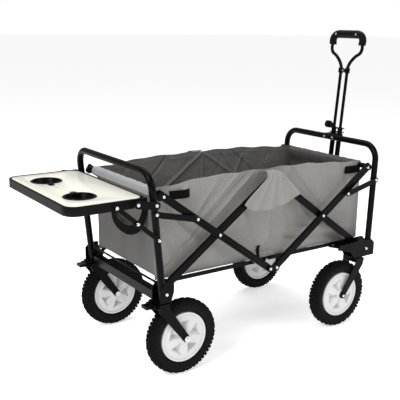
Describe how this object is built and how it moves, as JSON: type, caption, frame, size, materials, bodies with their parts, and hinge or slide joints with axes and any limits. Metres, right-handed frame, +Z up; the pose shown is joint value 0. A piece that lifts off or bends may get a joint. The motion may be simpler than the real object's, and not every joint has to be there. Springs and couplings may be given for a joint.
{
  "type": "folding wagon with pull handle",
  "caption": "Folding utility wagon with a grey fabric tub, crossed side bars, swivel front wheels, a drop-down side table with cup holders and a telescoping pull handle.",
  "frame": {"origin": "on the ground, below the middle of the wagon's overall box", "axes": "+X towards the front end with the pull handle, +Y towards the wagon's left as it is pulled, +Z up"},
  "size_m": [1.0999, 0.454, 0.905],
  "materials": {
    "black_frame": "gloss black powder coat",
    "rivet_steel": "bright rivets and pins",
    "black_plastic": "moulded black plastic",
    "white_hub": "moulded white plastic",
    "tyre_rubber": "black tread rubber",
    "grey_cloth": "woven polyester, warm grey",
    "dark_cloth": "woven polyester, dark grey",
    "black_webbing": "black webbing",
    "table_cream": "cream laminate"
  },
  "bodies": {
    "rear_frame": {"rear_end_frame": "black_frame", "rear_corner_brackets": "black_frame", "rear_cross_bar": "black_frame", "rear_forks": "black_frame", "rear_axles": "rivet_steel", "table_brackets": "black_frame", "rear_rivets": "rivet_steel"},
    "bars_b": {"bars_b": "black_frame", "crossing_pins_rear": "rivet_steel"},
    "bars_a": {"bars_a": "black_frame", "rear_upper_tube": "black_frame"},
    "tub": {"top_middle_plates": "black_frame", "tub_floor": "dark_cloth", "tub_side_left": "grey_cloth", "tub_side_right": "grey_cloth", "tub_end_rear": "grey_cloth", "tub_end_front": "grey_cloth", "tub_hem_rear": "grey_cloth", "tub_hem_front": "dark_cloth", "tub_flaps": "grey_cloth", "carry_strap": "black_webbing"},
    "bars_d": {"bars_d": "black_frame", "crossing_pins_front": "rivet_steel"},
    "bars_e": {"bars_e": "black_frame", "front_upper_tube": "black_frame"},
    "bottom_plates": {"bottom_middle_plates": "black_frame"},
    "front_frame": {"front_end_frame": "black_frame", "front_corner_brackets": "black_frame", "front_cross_bar": "black_frame", "handle_pivot_rod": "rivet_steel", "handle_rest": "black_plastic", "front_rivets": "rivet_steel"},
    "rear_links": {"rear_links": "black_frame"},
    "front_links": {"front_links": "black_frame"},
    "rear_rails": {"rear_rails": "black_frame"},
    "front_rails": {"front_rails": "black_frame"},
    "caster_left": {"caster_fork_left": "black_frame"},
    "caster_right": {"caster_fork_right": "black_frame"},
    "wheel_rear_left": {"tyre_rear_left": "tyre_rubber", "hub_rear_left": "white_hub"},
    "wheel_rear_right": {"tyre_rear_right": "tyre_rubber", "hub_rear_right": "white_hub"},
    "wheel_front_left": {"tyre_front_left": "tyre_rubber", "hub_front_left": "white_hub"},
    "wheel_front_right": {"tyre_front_right": "tyre_rubber", "hub_front_right": "white_hub"},
    "pedal_left": {"brake_pedal_left": "black_frame"},
    "pedal_right": {"brake_pedal_right": "black_frame"},
    "table": {"table_rim": "black_plastic", "table_board": "table_cream", "cup_holders": "black_plastic", "table_rivets": "rivet_steel"},
    "braces_lower": {"braces_lower": "black_frame"},
    "braces_upper": {"braces_upper": "black_frame"},
    "handle": {"handle_tubes": "black_frame", "handle_clamp": "black_plastic"},
    "rods": {"handle_rods": "black_frame", "handle_grips": "black_plastic"},
    "button": {"clamp_button": "black_plastic"}
  },
  "joints": [
    {"name": "fold", "type": "hinge", "parent": "rear_frame", "child": "bars_b", "pos_m": [-0.28799, 0, 0.24], "axis": [0, -1, 0], "range_deg": [0, 30.6], "deforming": ["tub_floor", "tub_side_left", "tub_side_right", "tub_end_rear", "tub_end_front", "tub_hem_rear", "tub_hem_front", "tub_flaps", "carry_strap"]},
    {"name": "bars_a_cross", "type": "hinge", "parent": "bars_b", "child": "bars_a", "pos_m": [-0.10984, 0, 0.368], "axis": [0, -1, 0], "range_deg": [-62.42, 0]},
    {"name": "top_middle", "type": "hinge", "parent": "bars_b", "child": "tub", "pos_m": [0.06831, 0, 0.496], "axis": [0, -1, 0], "range_deg": [-31.21, 0]},
    {"name": "bars_d_top", "type": "hinge", "parent": "tub", "child": "bars_d", "pos_m": [0.09171, 0, 0.496], "axis": [0, -1, 0], "range_deg": [-31.21, 0]},
    {"name": "bars_e_cross", "type": "hinge", "parent": "bars_d", "child": "bars_e", "pos_m": [0.26986, 0, 0.368], "axis": [0, -1, 0], "range_deg": [0, 62.42]},
    {"name": "bottom_middle", "type": "hinge", "parent": "bars_a", "child": "bottom_plates", "pos_m": [0.06831, 0, 0.24], "axis": [0, -1, 0], "range_deg": [0, 31.21]},
    {"name": "front_foot", "type": "hinge", "parent": "bars_d", "child": "front_frame", "pos_m": [0.44801, 0, 0.24], "axis": [0, -1, 0], "range_deg": [0, 31.21]},
    {"name": "rear_link", "type": "hinge", "parent": "rear_frame", "child": "rear_links", "pos_m": [-0.31704, 0, 0.457], "axis": [0, -1, 0], "range_deg": [0, 60.11]},
    {"name": "front_link", "type": "hinge", "parent": "front_frame", "child": "front_links", "pos_m": [0.47235, 0, 0.457], "axis": [0, -1, 0], "range_deg": [-62.49, 0]},
    {"name": "rear_rail", "type": "hinge", "parent": "rear_frame", "child": "rear_rails", "pos_m": [-0.27999, 0, 0.259], "axis": [0, -1, 0], "range_deg": [0, 61.19]},
    {"name": "front_rail", "type": "hinge", "parent": "front_frame", "child": "front_rails", "pos_m": [0.34001, 0, 0.259], "axis": [0, -1, 0], "range_deg": [-73.51, 0]},
    {"name": "caster_swivel_right", "type": "hinge", "parent": "front_frame", "child": "caster_right", "pos_m": [0.41401, -0.195, 0.21], "axis": [0, 0, 1], "continuous": true},
    {"name": "rear_spin_right", "type": "hinge", "parent": "rear_frame", "child": "wheel_rear_right", "pos_m": [-0.22899, -0.195, 0.105], "axis": [0, 1, 0], "continuous": true},
    {"name": "front_spin_right", "type": "hinge", "parent": "caster_right", "child": "wheel_front_right", "pos_m": [0.35001, -0.195, 0.105], "axis": [0, 1, 0], "continuous": true},
    {"name": "brake_right", "type": "hinge", "parent": "rear_frame", "child": "pedal_right", "pos_m": [-0.32199, -0.195, 0.209], "axis": [0, -1, 0], "range_deg": [0, 15]},
    {"name": "caster_swivel_left", "type": "hinge", "parent": "front_frame", "child": "caster_left", "pos_m": [0.41401, 0.195, 0.21], "axis": [0, 0, 1], "continuous": true},
    {"name": "rear_spin_left", "type": "hinge", "parent": "rear_frame", "child": "wheel_rear_left", "pos_m": [-0.22899, 0.195, 0.105], "axis": [0, 1, 0], "continuous": true},
    {"name": "front_spin_left", "type": "hinge", "parent": "caster_left", "child": "wheel_front_left", "pos_m": [0.35001, 0.195, 0.105], "axis": [0, 1, 0], "continuous": true},
    {"name": "brake_left", "type": "hinge", "parent": "rear_frame", "child": "pedal_left", "pos_m": [-0.32199, 0.195, 0.209], "axis": [0, -1, 0], "range_deg": [0, 15]},
    {"name": "table_fold", "type": "hinge", "parent": "rear_frame", "child": "table", "pos_m": [-0.37199, 0, 0.49], "axis": [0, -1, 0], "range_deg": [0, 90]},
    {"name": "brace_lower_fold", "type": "hinge", "parent": "rear_frame", "child": "braces_lower", "pos_m": [-0.30989, 0, 0.389], "axis": [0, -1, 0], "range_deg": [0, 58.73]},
    {"name": "brace_upper_fold", "type": "hinge", "parent": "table", "child": "braces_upper", "pos_m": [-0.42599, 0, 0.488], "axis": [0, -1, 0], "range_deg": [-155.72, 0]},
    {"name": "handle_swing", "type": "hinge", "parent": "front_frame", "child": "handle", "pos_m": [0.48001, 0, 0.252], "axis": [0, 1, 0], "range_deg": [0, 95]},
    {"name": "handle_slide", "type": "slide", "parent": "handle", "child": "rods", "axis": [0.0872, 0, 0.9962], "range_m": [-0.14, 0.08]},
    {"name": "clamp_press", "type": "slide", "parent": "handle", "child": "button", "axis": [0, -1, 0], "range_m": [0, 0.004], "stiffness_N_per_m": 400}
  ],
  "couplings": [
    {"joint": "bars_a_cross", "follows": "fold", "ratio": -2},
    {"joint": "top_middle", "follows": "fold", "ratio": -1},
    {"joint": "bars_d_top", "follows": "fold", "ratio": -1},
    {"joint": "bars_e_cross", "follows": "fold", "ratio": 2},
    {"joint": "bottom_middle", "follows": "fold", "ratio": 1},
    {"joint": "front_foot", "follows": "fold", "ratio": 1},
    {"joint": "rear_link", "follows": "fold", "ratio": 1.926},
    {"joint": "front_link", "follows": "fold", "ratio": -2.0021},
    {"joint": "rear_rail", "follows": "fold", "ratio": 1.9604},
    {"joint": "front_rail", "follows": "fold", "ratio": -2.355},
    {"joint": "brace_lower_fold", "follows": "table_fold", "ratio": 0.63974},
    {"joint": "brace_upper_fold", "follows": "table_fold", "ratio": -1.6963}
  ]
}
